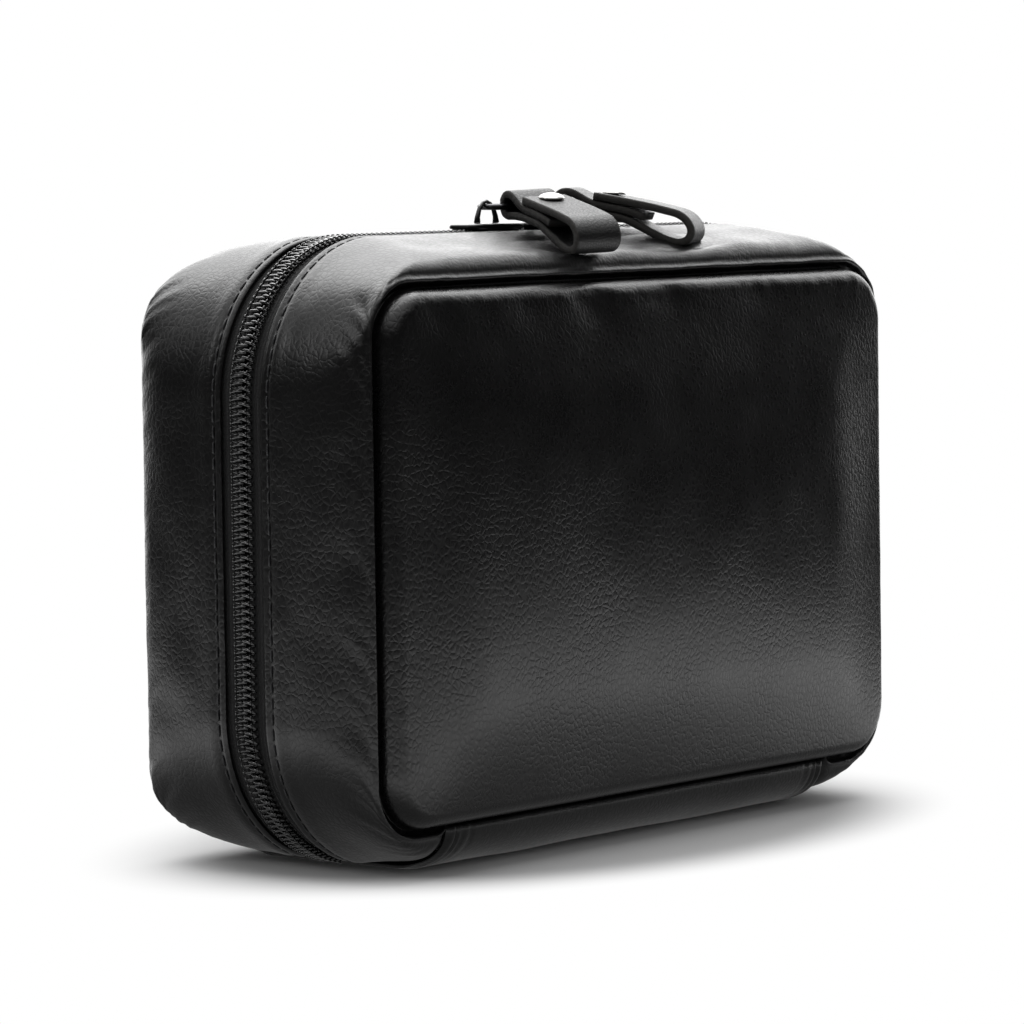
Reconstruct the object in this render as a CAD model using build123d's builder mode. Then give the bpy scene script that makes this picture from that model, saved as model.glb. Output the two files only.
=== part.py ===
# Leather organizer case: a zip-round clamshell of two padded leather halves on a leather hinge.
# It stands on its hinge. Width lies along X, the front faces -Y, Z is up, the origin is under its middle.
import os
from math import cos, radians, sin

from build123d import *

os.makedirs("parts", exist_ok=True)

# The case, in millimetres
case_width = 214
case_height = 150
case_depth = 80
panel_width = 200
panel_height = 128
corner_radius = 38
panel_radius = 13
seam_depth = 36
hinge_length = 150
mid_height = case_height / 2

# Layers of a wall, each measured inwards from the outer face
leather = 1.4
backing_face = 1.45
backing_back = 1.95
lining_face = 2.0
lining_back = 2.7
seam_allowance = 6

# The zip
zip_edge = 6.5
tape_edge = 0.8
tape_sewn_to = 16
tape_end = 70
coil_tip = 0.5
coil_root = 3.1
coil_back = 4.0
coil_proud = 0.2
tooth_pitch = 1.8
tooth_width = 1.0

# The moving parts
hinge_axis_drop = 0.2
slider_length = 20
left_slider_at = -15.2
right_slider_at = 7.2
ring_height = 156
ring_half_width = 4.2
ring_wire = 0.75
ring_corner = 2.5
strap_width = 12.5
strap_leather = 2.0
strap_cut = 7.6
strap_to_bight = 29.4
rivet_from_bar = 11.3
rivet_cap = 3.2

# A wall swells from the panel seam out to the zip along a quarter of this superellipse
swell_power = 2.2
wall_stations = (0, 0.3, 0.55, 0.75, 0.9, 0.975, 1)


def depth_plane(side, depth):
    """Plane facing along the depth of the case; side is -1 in the front half and 1 in the back half."""
    return Plane.XZ.offset(-side * depth)


def wall_outline(offset, t):
    """Depth, width, height and corner radius at t along the wall, 0 at the zip and 1 at the seam."""
    swell = (1 - t**swell_power) ** (1 / swell_power)
    depth = zip_edge + (seam_depth - offset - zip_edge) * t
    width = panel_width + (case_width - panel_width - 2 * offset) * swell
    height = panel_height + (case_height - panel_height - 2 * offset) * swell
    radius = panel_radius + (corner_radius - offset - panel_radius) * swell
    return depth, width, height, radius


def half_body(side, offset, mouth=zip_edge):
    """Solid inside a wall face, from the mouth of the half to its panel seam."""
    sections = [wall_outline(offset, t) for t in wall_stations]
    if mouth < zip_edge:
        sections.insert(0, (mouth,) + sections[0][1:])
    with BuildPart() as body:
        for depth, width, height, radius in sections:
            with BuildSketch(depth_plane(side, depth)):
                with Locations((0, mid_height)):
                    RectangleRounded(width, height, radius)
        loft()
    return body.part


def slab(side, from_depth, to_depth, width, height, radius):
    """Rounded plate between two depths, centred on the case."""
    with BuildPart() as plate:
        with BuildSketch(depth_plane(side, from_depth)):
            with Locations((0, mid_height)):
                RectangleRounded(width, height, radius)
        extrude(amount=-side * (to_depth - from_depth))
    return plate.part


def floor_block(side, half_length, from_depth, to_depth, top):
    """Block at the bottom middle, where the hinge takes the place of the wall and the zip."""
    with BuildPart() as block:
        with Locations((0, side * (from_depth + to_depth) / 2, (top - 1) / 2)):
            Box(2 * half_length, to_depth - from_depth, top + 1)
    return block.part


def save(piece, name):
    piece.part.label = name
    export_step(piece.part, f"parts/{name}.step")


# Face panels: a crowned leather skin over foam, sewn to the wall all round
crown = case_depth / 2 - seam_depth
skin_profile = ((0, 0.4), (0.35 * crown, 0.8), (0.58 * crown, 2.4), (0.74 * crown, 6), (0.85 * crown, 13),
                (0.94 * crown, 25), (crown, 44))
foam_profile = ((0, 1.8), (0.9, 3.2), (1.6, 8), (2.2, 22), (2.6, 44))


def dome(side, profile):
    """Crowned pad: each station is a rise above the seam and an inset from the panel's outline."""
    with BuildPart() as pad:
        for rise, inset in profile:
            with BuildSketch(depth_plane(side, seam_depth + rise)):
                with Locations((0, mid_height)):
                    RectangleRounded(panel_width - 2 * inset, panel_height - 2 * inset, panel_radius + 0.1 * inset)
        loft(ruled=True)
    return pad.part


def make_panel(side, half):
    with BuildPart() as panel:
        add(dome(side, skin_profile))
        add(dome(side, foam_profile), mode=Mode.SUBTRACT)
    save(panel, f"{half}_panel")
    with BuildPart() as padding:
        add(dome(side, foam_profile))
    save(padding, f"{half}_padding")
    board_inset = 2 * seam_allowance + 0.4
    with BuildPart() as stiffener:
        add(slab(side, seam_depth - backing_back, seam_depth - 0.05, panel_width - board_inset,
                 panel_height - board_inset, panel_radius - seam_allowance))
    save(stiffener, f"{half}_stiffener")


# Walls: a leather strip round the half, its seam allowance turned in behind the panel
def make_wall(side, half):
    window = 2 * seam_allowance
    with BuildPart() as gusset:
        add(half_body(side, 0))
        add(half_body(side, leather, zip_edge - 1), mode=Mode.SUBTRACT)
        add(slab(side, seam_depth - 3, seam_depth + 1, panel_width - window, panel_height - window,
                 panel_radius - seam_allowance), mode=Mode.SUBTRACT)
        add(floor_block(side, hinge_length / 2 + 0.1, zip_edge - 1, seam_depth + 1,
                        (case_height - panel_height) / 2 + seam_allowance + 0.1), mode=Mode.SUBTRACT)
    save(gusset, f"{half}_gusset")
    with BuildPart() as interlining:
        add(half_body(side, backing_face))
        add(half_body(side, backing_back, zip_edge - 1), mode=Mode.SUBTRACT)
        add(slab(side, seam_depth - 3, seam_depth, panel_width - window, panel_height - window,
                 panel_radius - seam_allowance), mode=Mode.SUBTRACT)
        add(slab(side, 0, tape_sewn_to + 0.3, case_width, case_height, corner_radius), mode=Mode.SUBTRACT)
    save(interlining, f"{half}_interlining")


# Hinge: one leaf of the leather base under each half, rolled up into the panel seam
base_flat = 20
fold_gap = 0.25


def make_base(side, half):
    rise = (case_height - panel_height) / 2
    leaf_plane = Plane(origin=(-side * hinge_length / 2, 0, 0), x_dir=(0, side, 0), z_dir=(side, 0, 0))
    roll = seam_depth - base_flat
    tab_top = rise + seam_allowance
    with BuildPart() as base:
        with BuildSketch(leaf_plane):
            with BuildLine():
                Line((fold_gap, 0), (base_flat, 0))
                EllipticalCenterArc((base_flat, rise), roll, rise, -90, arc_size=90)
                Polyline((seam_depth, rise), (seam_depth, tab_top), (seam_depth - leather, tab_top),
                         (seam_depth - leather, rise))
                EllipticalCenterArc((base_flat, rise), roll - leather, rise - leather, -90, arc_size=90)
                Polyline((base_flat, leather), (fold_gap, leather), (fold_gap, 0))
            make_face()
        extrude(amount=hinge_length)
    save(base, f"{half}_base")


# Lining: a fabric tray under the wall, with a strip that carries on to the hinge
lining_mouth = 9.5


def make_lining(side, half):
    with BuildPart() as lining:
        add(half_body(side, lining_face))
        add(half_body(side, lining_back, zip_edge - 1), mode=Mode.SUBTRACT)
        add(slab(side, 0, lining_mouth, case_width, case_height, corner_radius), mode=Mode.SUBTRACT)
        with Locations((0, side * (0.6 + lining_mouth + 0.5) / 2, (lining_face + lining_back) / 2)):
            Box(hinge_length - 12, lining_mouth - 0.1, lining_back - lining_face)
    save(lining, f"{half}_lining")


# Zip tape: woven tape sewn between the wall and its lining
def make_tape(side, half):
    with BuildPart() as tape:
        add(half_body(side, backing_face, tape_edge))
        add(half_body(side, backing_back, tape_edge - 0.5), mode=Mode.SUBTRACT)
        add(slab(side, tape_sewn_to, seam_depth + 1, case_width, case_height, corner_radius), mode=Mode.SUBTRACT)
        add(floor_block(side, tape_end, 0, tape_sewn_to + 1, 12), mode=Mode.SUBTRACT)
    save(tape, f"{half}_zip_tape")


# Zip coil: a row of teeth round three sides of the case, standing on a sewn cord just clear of the tape
coil_seat = leather - 0.15
tooth_height = coil_seat + coil_proud
tooth_line = corner_radius + coil_proud - tooth_height / 2
straight_width = case_width - 2 * corner_radius
straight_height = case_height - 2 * corner_radius
zip_end_angle = 11


def tooth_places(shift):
    """Yield the rows of teeth along the straight sides and round the corners."""
    top_count = round(straight_width / tooth_pitch)
    side_count = round(straight_height / tooth_pitch)
    corner_count = round(radians(90) * tooth_line / tooth_pitch)
    step = 90 / corner_count
    top_pitch = straight_width / top_count
    side_pitch = straight_height / side_count
    high = mid_height + straight_height / 2 + tooth_line
    with Locations((shift * top_pitch, high)):
        with GridLocations(top_pitch, 1, top_count, 1):
            Rectangle(tooth_width, tooth_height)
    for end in (-1, 1):
        with Locations((end * (straight_width / 2 + tooth_line), mid_height + shift * side_pitch)):
            with GridLocations(1, side_pitch, 1, side_count):
                Rectangle(tooth_height, tooth_width)
        top_start = 0 if end > 0 else 90
        with Locations((end * straight_width / 2, mid_height + straight_height / 2)):
            with PolarLocations(tooth_line, corner_count, top_start + step * (0.5 + shift), 90):
                Rectangle(tooth_height, tooth_width)
        low_count = corner_count - round(zip_end_angle / step)
        low_start = -step * (low_count - 0.5 - shift) if end > 0 else 180 + step * (0.5 + shift)
        with Locations((end * straight_width / 2, mid_height - straight_height / 2)):
            with PolarLocations(tooth_line, low_count, low_start, step * low_count):
                Rectangle(tooth_height, tooth_width)


def make_coil(side, half):
    with BuildPart() as coil:
        with BuildSketch(depth_plane(side, coil_tip)):
            tooth_places(0.25 * side)
        extrude(amount=-side * (coil_root - coil_tip + 0.1))
        with BuildSketch(depth_plane(side, coil_root)):
            with Locations((0, mid_height)):
                RectangleRounded(case_width, case_height, corner_radius)
                RectangleRounded(case_width - 2 * coil_seat, case_height - 2 * coil_seat, corner_radius - coil_seat,
                                 mode=Mode.SUBTRACT)
            with Locations((0, 0)):
                Rectangle(hinge_length + 0.6, 20, mode=Mode.SUBTRACT)
        extrude(amount=-side * (coil_back - coil_root))
    save(coil, f"{half}_zip_coil")


for side, half in ((-1, "front"), (1, "back")):
    make_panel(side, half)
    make_wall(side, half)
    make_base(side, half)
    make_lining(side, half)
    make_tape(side, half)
    make_coil(side, half)


# Slip pocket on the lining of the front half, open at the top, with a bound edge
pocket_width = 176
pocket_low = 16
pocket_top = 88
pocket_depth = 10
pocket_wall = 1.0
pocket_back = seam_depth - lining_back - 0.05
with BuildPart() as pocket:
    with BuildSketch(depth_plane(-1, pocket_back)) as mouth:
        with Locations((0, (pocket_low + pocket_top) / 2)):
            Rectangle(pocket_width, pocket_top - pocket_low)
        fillet(mouth.vertices().group_by(Axis.Z)[0], 9)
    extrude(amount=-pocket_depth)
    with BuildSketch(depth_plane(-1, pocket_back)) as room:
        with Locations((0, (pocket_low + pocket_top) / 2 + pocket_wall)):
            Rectangle(pocket_width - 2 * pocket_wall, pocket_top - pocket_low)
        fillet(room.vertices().group_by(Axis.Z)[0], 8)
    extrude(amount=-(pocket_depth - pocket_wall), mode=Mode.SUBTRACT)
save(pocket, "front_pocket")

binding_height = 9
with BuildPart() as binding:
    with BuildSketch(Plane.YZ.offset(-(pocket_width / 2 - 2))):
        with Locations((-(pocket_back - pocket_depth + pocket_wall / 2), pocket_top - binding_height / 2 + 0.8)):
            Rectangle(pocket_wall + 1.6, binding_height)
        with Locations((-(pocket_back - pocket_depth + pocket_wall / 2), pocket_top - binding_height / 2)):
            Rectangle(pocket_wall + 0.1, binding_height + 0.1, mode=Mode.SUBTRACT)
    extrude(amount=pocket_width - 4)
save(binding, "front_pocket_binding")

# Elastic band on the lining of the back half, stitched down between its loops
loop_count = 6
loop_pitch = 26
loop_width = 20
loop_rise = 12
band_thickness = 1.0
band_low = 62
band_height = 28
band_line = seam_depth - lining_back - 0.05 - band_thickness / 2
with BuildPart() as band:
    with BuildSketch(Plane.XY.offset(band_low)):
        with BuildLine():
            first = -loop_count * loop_pitch / 2
            for index in range(loop_count):
                start = first + index * loop_pitch
                rise_at = start + (loop_pitch - loop_width) / 2
                Line((start, band_line), (rise_at, band_line))
                ThreePointArc((rise_at, band_line), (rise_at + loop_width / 2, band_line - loop_rise),
                              (rise_at + loop_width, band_line))
                Line((rise_at + loop_width, band_line), (start + loop_pitch, band_line))
        trace(line_width=band_thickness)
    extrude(amount=band_height)
save(band, "back_elastic_loops")


# Sliders: two plates joined by a thin wedge between the rows, with an arched bridge on top
plate_gap_top = case_height + coil_proud + 0.4
plate_gap_low = case_height - backing_back - 0.55
plate_thickness = 1.2
wedge_length = 6
wedge_thickness = 0.6
mouth_half = 5.8
tail_half = 4.3
bridge_top = ring_height + ring_wire + 0.15
bridge_foot = 6
bridge_room = 3.8
bridge_width = 2.4


def make_slider(name, centre, facing):
    """Slider with its mouth at the end that faces along X."""
    mouth_x = centre + facing * slider_length / 2
    tail_x = centre - facing * slider_length / 2
    with BuildPart() as slider:
        for low in (plate_gap_top, plate_gap_low - plate_thickness):
            with BuildSketch(Plane.XY.offset(low)) as plate:
                with BuildLine():
                    Polyline((tail_x, -tail_half), (mouth_x, -mouth_half), (mouth_x, mouth_half), (tail_x, tail_half),
                             close=True)
                make_face()
                fillet(plate.vertices(), 2.4)
            extrude(amount=plate_thickness)
        with Locations((mouth_x - facing * (wedge_length / 2 + 1), 0, (plate_gap_low + plate_gap_top) / 2)):
            Box(wedge_length, wedge_thickness, plate_gap_top - plate_gap_low)
        foot = plate_gap_top + plate_thickness - 0.3
        with BuildSketch(Plane.XZ.offset(-bridge_width / 2)):
            with BuildLine():
                ThreePointArc((centre - bridge_foot, foot), (centre, bridge_top + 1), (centre + bridge_foot, foot))
                Line((centre + bridge_foot, foot), (centre + bridge_room, foot))
                ThreePointArc((centre + bridge_room, foot), (centre, bridge_top), (centre - bridge_room, foot))
                Line((centre - bridge_room, foot), (centre - bridge_foot, foot))
            make_face()
        extrude(amount=bridge_width)
    save(slider, name)


make_slider("left_slider_body", left_slider_at, 1)
make_slider("right_slider_body", right_slider_at, -1)


# Pulls: a wire ring through each bridge, and a leather strap folded round the ring's front bar
# The strip starts on top, runs out to a loop, comes back below, folds round the bar and ends inside the loop
top_layer = 3.15
middle_layer = 1.05
loop_radius = 3.6
tunnel_radius = 2.0
tunnel_end = 8.0
tunnel_angle = 70
pressed_to = 14.8
tail_end = (20.5, 0.3)


def pull_directions(turn, tilt):
    along = Vector(cos(radians(turn)), sin(radians(turn)), 0)
    out = Vector(sin(radians(turn)) * cos(radians(tilt)), -cos(radians(turn)) * cos(radians(tilt)),
                 -sin(radians(tilt)))
    return along, out


def make_ring(name, at, turn, ring_length):
    along, _ = pull_directions(turn, 0)
    ring_plane = Plane(origin=(at, 0, ring_height - ring_wire), x_dir=along, z_dir=(0, 0, 1))
    with BuildPart() as ring:
        with BuildSketch(ring_plane):
            with Locations((ring_length / 2, 0)):
                RectangleRounded(ring_length + 2 * ring_wire, 2 * (ring_half_width + ring_wire),
                                 ring_corner + ring_wire)
                RectangleRounded(ring_length - 2 * ring_wire, 2 * (ring_half_width - ring_wire),
                                 ring_corner - ring_wire, mode=Mode.SUBTRACT)
        extrude(amount=2 * ring_wire)
        fillet(ring.edges().filter_by(Axis.Z, reverse=True), 0.9 * ring_wire)
    save(ring, name)


def make_strap(name, rivet_name, at, turn, tilt, strap_middle):
    along, out = pull_directions(turn, tilt)
    _, level_out = pull_directions(turn, 0)
    far_end = strap_middle + strap_width / 2
    bar = Vector(at, 0, ring_height) + level_out * ring_half_width
    strap_plane = Plane(origin=bar + along * far_end, x_dir=out, z_dir=-along)
    rivet_at = bar + along * strap_middle + out * rivet_from_bar
    rivet_plane = Plane(origin=rivet_at, x_dir=along, z_dir=strap_plane.y_dir)
    bight_low = top_layer - 2 * loop_radius
    tunnel_x = tunnel_radius * cos(radians(tunnel_angle))
    tunnel_y = tunnel_radius * sin(radians(tunnel_angle))
    with BuildPart() as strap:
        with BuildSketch(strap_plane):
            with BuildLine():
                Line((strap_cut, top_layer), (strap_to_bight, top_layer))
                ThreePointArc((strap_to_bight, top_layer), (strap_to_bight + loop_radius, top_layer - loop_radius),
                              (strap_to_bight, bight_low))
                Spline((strap_to_bight, bight_low), (pressed_to, -middle_layer), tangents=((-1, 0), (-1, 0)))
                Line((pressed_to, -middle_layer), (tunnel_end, -middle_layer))
                Spline((tunnel_end, -middle_layer), (tunnel_x, -tunnel_y), tangents=((-1, 0), (-tunnel_y, -tunnel_x)))
                ThreePointArc((tunnel_x, -tunnel_y), (-tunnel_radius, 0), (tunnel_x, tunnel_y))
                Spline((tunnel_x, tunnel_y), (tunnel_end, middle_layer), tangents=((tunnel_y, -tunnel_x), (1, 0)))
                Line((tunnel_end, middle_layer), (pressed_to, middle_layer))
                Spline((pressed_to, middle_layer), tail_end, tangents=((1, 0), (1, -0.2)))
            trace(line_width=strap_leather)
        extrude(amount=strap_width)
        with BuildSketch(rivet_plane.offset(-6)):
            Circle(1.5)
        extrude(amount=12, mode=Mode.SUBTRACT)
    save(strap, name)
    cap_base = top_layer + strap_leather / 2 + 0.03
    washer_top = -middle_layer - strap_leather / 2 - 0.03
    with BuildPart() as rivet:
        with BuildSketch(rivet_plane.offset(washer_top - 0.8)):
            Circle(rivet_cap)
        extrude(amount=0.8)
        with BuildSketch(rivet_plane.offset(washer_top - 0.1)):
            Circle(1.4)
        extrude(amount=cap_base - washer_top + 0.2)
        with BuildSketch(rivet_plane.offset(cap_base)):
            Circle(rivet_cap)
        extrude(amount=1.4)
        fillet(rivet.edges().sort_by(Axis(rivet_at, rivet_plane.z_dir))[-1], 1.2)
    save(rivet, rivet_name)


pulls = (("left", left_slider_at, -20, 8, 19, 9.75), ("right", right_slider_at, 24, 3.5, 21, 12))
for name, at, turn, tilt, ring_length, strap_middle in pulls:
    make_ring(f"{name}_pull_ring", at, turn, ring_length)
    make_strap(f"{name}_pull_strap", f"{name}_pull_rivet", at, turn, tilt, strap_middle)
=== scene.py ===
# Leather organizer case: a zip-round clamshell of two padded halves on a leather hinge, with riveted strap
# pulls. Metres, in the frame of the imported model: the width along X, the front facing -Y, the base at z = 0.
# Sizes are written in millimetres and multiplied by mm where a point is made.
from math import asin, cos, exp, pi, radians, sin, sqrt

import bmesh
import bpy
from mathutils import Matrix, Vector, noise


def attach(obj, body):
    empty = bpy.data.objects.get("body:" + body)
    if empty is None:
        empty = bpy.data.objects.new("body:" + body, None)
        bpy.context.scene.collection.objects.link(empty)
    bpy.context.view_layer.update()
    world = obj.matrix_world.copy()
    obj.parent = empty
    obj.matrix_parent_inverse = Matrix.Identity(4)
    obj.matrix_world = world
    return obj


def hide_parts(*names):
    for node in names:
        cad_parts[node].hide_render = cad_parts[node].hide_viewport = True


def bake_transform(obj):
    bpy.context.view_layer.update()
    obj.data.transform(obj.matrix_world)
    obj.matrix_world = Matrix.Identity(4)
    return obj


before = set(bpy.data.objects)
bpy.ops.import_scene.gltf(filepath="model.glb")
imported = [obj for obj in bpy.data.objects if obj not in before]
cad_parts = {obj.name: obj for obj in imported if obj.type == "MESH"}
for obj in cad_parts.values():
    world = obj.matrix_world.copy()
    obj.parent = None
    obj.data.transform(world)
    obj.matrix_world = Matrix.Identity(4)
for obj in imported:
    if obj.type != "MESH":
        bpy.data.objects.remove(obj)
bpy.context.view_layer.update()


# Walls: one strip of pebbled full-grain leather round each half, swelling out from the panel seam to the zip.
# Its zip edge is folded under and topstitched, its other edge rolls into the panel seam, and its two ends
# tuck in beside the hinge. The front top sags a little and is dented where the straps lie on it.
mm = 0.001
MID_HEIGHT = 75
PANEL_WIDTH = 200
PANEL_HEIGHT = 128
PANEL_RADIUS = 13
CASE_WIDTH = 214
CASE_HEIGHT = 150
CASE_RADIUS = 38
SEAM_DEPTH = 36
ZIP_EDGE = 6.1
WALL_RUN = SEAM_DEPTH - 0.9 - ZIP_EDGE
STITCH_DEPTH = ZIP_EDGE + 2.4
LEATHER = 1.4
LIP = 1.9
SWELL_POWER = 2.2
WALL_CUT = 76.5
CORNER_STEPS = 40
SIDE_STEPS = 56
TOP_STEPS = 108
FRONT = -1
BACK = 1
SLACK = 0.75
FURROW = 0.30
TUCK_LENGTH = 4
TUCK_DROP = 3.2
SHELF_SAG = 1.3
STRAP_PRESSES = ((-17, 28, 2.2), (32, 23, 2.2))
PRESS_WIDTH = 10
PRESS_REACH = 8
PRESS_END = (30, 34)
HALVES = ((FRONT, "front"), (BACK, "back"))


def smooth(value, low, high):
    """Rise smoothly from 0 to 1 as the value goes from low to high."""
    share = min(max((value - low) / (high - low), 0), 1)
    return share * share * (3 - 2 * share)


def bump(value, centre, spread):
    """A smooth hump of 1 at the centre."""
    return exp(-((value - centre) / spread) ** 2)


def spot(x, y, z):
    """A point given in millimetres."""
    return Vector((x, y, z)) * mm


def waver(x, y, z):
    """Smooth noise between about -1 and 1."""
    return noise.noise(Vector((x, y, z)))


def outline(width, height, radius, cut):
    """Points, outward directions and distances round a rounded rectangle, cut open at its bottom."""
    flat = max(width / 2 - radius - cut, 0)
    first = asin(min(max(cut - (width / 2 - radius), 0) / radius, 1))
    run = flat + radius * (pi / 2 - first)
    right = []
    for step in range(CORNER_STEPS):
        along = run * step / CORNER_STEPS
        if along < flat:
            right.append((cut + along, -height / 2, 0, -1))
        else:
            turn = first + (along - flat) / radius
            right.append((width / 2 - radius + radius * sin(turn), radius - height / 2 - radius * cos(turn),
                          sin(turn), -cos(turn)))
    side = height - 2 * radius
    for step in range(SIDE_STEPS):
        right.append((width / 2, side * (step / SIDE_STEPS - 0.5), 1, 0))
    for step in range(CORNER_STEPS):
        turn = pi / 2 * step / CORNER_STEPS
        right.append((width / 2 - radius + radius * cos(turn), height / 2 - radius + radius * sin(turn),
                      cos(turn), sin(turn)))
    top = width - 2 * radius
    for step in range(TOP_STEPS // 2 + 1):
        right.append((top * (0.5 - step / TOP_STEPS), height / 2, 0, 1))
    left = [(-x, z, -nx, nz) for x, z, nx, nz in reversed(right[:-1])]
    places = right + left
    distances = [0]
    for before, after in zip(places, places[1:]):
        distances.append(distances[-1] + sqrt((after[0] - before[0]) ** 2 + (after[1] - before[1]) ** 2))
    return places, distances


def wall_size(share, offset=0):
    """Depth, width, height and corner radius of a wall, from its zip edge at 0 to its seam at 1."""
    swell = (1 - share ** SWELL_POWER) ** (1 / SWELL_POWER)
    depth = ZIP_EDGE + WALL_RUN * share
    width = PANEL_WIDTH + 2 * LIP + (CASE_WIDTH - PANEL_WIDTH - 2 * LIP) * swell
    height = PANEL_HEIGHT + 2 * LIP + (CASE_HEIGHT - PANEL_HEIGHT - 2 * LIP) * swell
    radius = PANEL_RADIUS + LIP + (CASE_RADIUS - PANEL_RADIUS - LIP) * swell
    return depth, width + 2 * offset, height + 2 * offset, radius + offset


def seam_size(depth, offset):
    """The panel's outline, grown by the offset, at a depth near the seam."""
    return depth, PANEL_WIDTH + 2 * offset, PANEL_HEIGHT + 2 * offset, PANEL_RADIUS + offset


def zip_size(depth, offset):
    """The case's full outline, grown by the offset, at a depth near the zip."""
    return depth, CASE_WIDTH + 2 * offset, CASE_HEIGHT + 2 * offset, CASE_RADIUS + offset


def wall_give(side, depth, x, z, distance, total):
    """How far the leather stands out of its plain form: slack, puckers, furrow, dents and tucked ends."""
    seed = 7.3 * side
    slack = waver(x / 34, z / 30, seed + depth / 26)
    slack += 0.45 * waver(x / 13, z / 13, seed + depth / 12 + 9)
    middle = smooth(depth, 11, 20) * (1 - smooth(depth, 31, 36))
    give = SLACK * slack * middle
    corner = bump(abs(x), 104, 16) * bump(abs(z - MID_HEIGHT), 62, 16)
    pucker = waver(distance / 3.1, depth / 14, seed)
    give += (0.18 + 0.5 * corner) * pucker * smooth(depth, 24, 33) * (1 - smooth(depth, 35.4, 36.4))
    give -= FURROW * bump(depth, STITCH_DEPTH, 0.75)
    give += 0.16 * bump(depth, ZIP_EDGE + 1.0, 0.7) + 0.22 * bump(depth, ZIP_EDGE + 4.6, 1.8)
    give += 0.12 * waver(distance / 7, depth / 5, seed + 3) * (1 - middle)
    if side == FRONT and z > MID_HEIGHT:
        off_seam = 1 - smooth(depth, *PRESS_END)
        give -= SHELF_SAG * bump(depth, 23, PRESS_REACH) * (1 - smooth(abs(x - 5), 55, 88)) * off_seam
        for press_x, press_depth, deep in STRAP_PRESSES:
            give -= deep * bump(x, press_x, PRESS_WIDTH) * bump(depth, press_depth, PRESS_REACH) * off_seam
    end = min(distance, total - distance)
    if end < TUCK_LENGTH:
        give -= TUCK_DROP * (1 - sqrt(max(1 - ((TUCK_LENGTH - end) / TUCK_LENGTH) ** 2, 0)))
    return give


def wall_row(side, size, cut=WALL_CUT, give=True):
    """One line of points round a half at the given depth, width, height and corner radius, in metres."""
    depth, width, height, radius = size
    places, distances = outline(width, height, radius, cut)
    row = []
    for (x, z, nx, nz), distance in zip(places, distances):
        out = wall_give(side, depth, x, z + MID_HEIGHT, distance, distances[-1]) if give else 0
        row.append(spot(x + out * nx, side * depth, z + MID_HEIGHT + out * nz))
    return row


def add_object(name, data):
    """A new object in the scene."""
    piece = bpy.data.objects.new(name, data)
    bpy.context.scene.collection.objects.link(piece)
    return piece


def skin(name, rows, *finishes, wrap_rows=False, wrap_points=False, cap_ends=False):
    """A smooth mesh through rows of points; capped ends join each row to the one that lies under it."""
    count = len(rows[0])
    faces = []
    for row in range(len(rows) if wrap_rows else len(rows) - 1):
        after = (row + 1) % len(rows)
        for point in range(count if wrap_points else count - 1):
            beside = (point + 1) % count
            faces.append((row * count + point, row * count + beside,
                          after * count + beside, after * count + point))
    if cap_ends:
        for row in range(len(rows) // 2 - 1):
            under = len(rows) - 1 - row
            for point in (0, count - 1):
                faces.append(tuple(line * count + point for line in (row, row + 1, under - 1, under)))
    mesh = bpy.data.meshes.new(name)
    mesh.from_pydata([point for row in rows for point in row], [], faces)
    for finish in finishes:
        mesh.materials.append(finish)
    shape = bmesh.new()
    shape.from_mesh(mesh)
    bmesh.ops.remove_doubles(shape, verts=shape.verts, dist=1e-6)
    bmesh.ops.recalc_face_normals(shape, faces=shape.faces)
    shape.to_mesh(mesh)
    shape.free()
    mesh.shade_smooth()
    return add_object(name, mesh)


def linear(hex_colour):
    """An sRGB hex colour as linear red, green, blue and alpha."""
    channels = [int(hex_colour[place:place + 2], 16) / 255 for place in (1, 3, 5)]
    return tuple(c / 12.92 if c <= 0.04045 else ((c + 0.055) / 1.055) ** 2.4 for c in channels) + (1,)


def fill_inputs(material, node, inputs):
    """Set or link a node's inputs by number or by name, where _ stands for a space.

    A node given as a value is linked by its first output in use, and text is a hex colour.
    """
    for name, value in inputs.items():
        found = [socket for socket in node.inputs if socket.name == name.replace("_", " ") and socket.enabled]
        socket = node.inputs[int(name[2:])] if name.startswith("in") and name[2:].isdigit() else found[0]
        if isinstance(value, bpy.types.Node):
            value = [output for output in value.outputs if output.enabled][0]
        if isinstance(value, bpy.types.NodeSocket):
            material.node_tree.links.new(value, socket)
        else:
            socket.default_value = linear(value) if isinstance(value, str) else value


def add_node(material, kind, settings=None, **inputs):
    """Add a shader node, set its plain attributes, and fill its inputs."""
    node = material.node_tree.nodes.new("ShaderNode" + kind)
    for attribute, value in (settings or {}).items():
        setattr(node, attribute, value)
    fill_inputs(material, node, inputs)
    return node


def start_material(name, **finish):
    """A new material with its shader's plain values, and the place of each point on the piece."""
    material = bpy.data.materials.new(name)
    material.use_nodes = True
    shader = material.node_tree.nodes["Principled BSDF"]
    fill_inputs(material, shader, finish)
    place = add_node(material, "TexCoord").outputs["Object"]
    return material, shader, place


def finish_material(material, shader, height, strength, depth, **linked):
    """Give the shader its bump, with the depth of the relief in millimetres, and what else varies on it."""
    relief = add_node(material, "Bump", Height=height, Strength=strength, Distance=depth * mm)
    fill_inputs(material, shader, {"Normal": relief, **linked})
    return material


# Black aniline full-grain calf, drum-milled so that its pebble stands up: a dark body under a soft waxy
# sheen. Each pebble catches the light; the creases between them are duller, and darker by painted shade.
PEBBLE_RISE = ((0.0, 0.0), (0.1, 0.45), (0.28, 0.85), (0.5, 1.0))
PEBBLE_WANDER = 0.8
FINE_GRAIN = 2.3
PORE = 0.22
HIDE_PATCH = 24
CREASE_PITCH = 2.6


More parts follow.
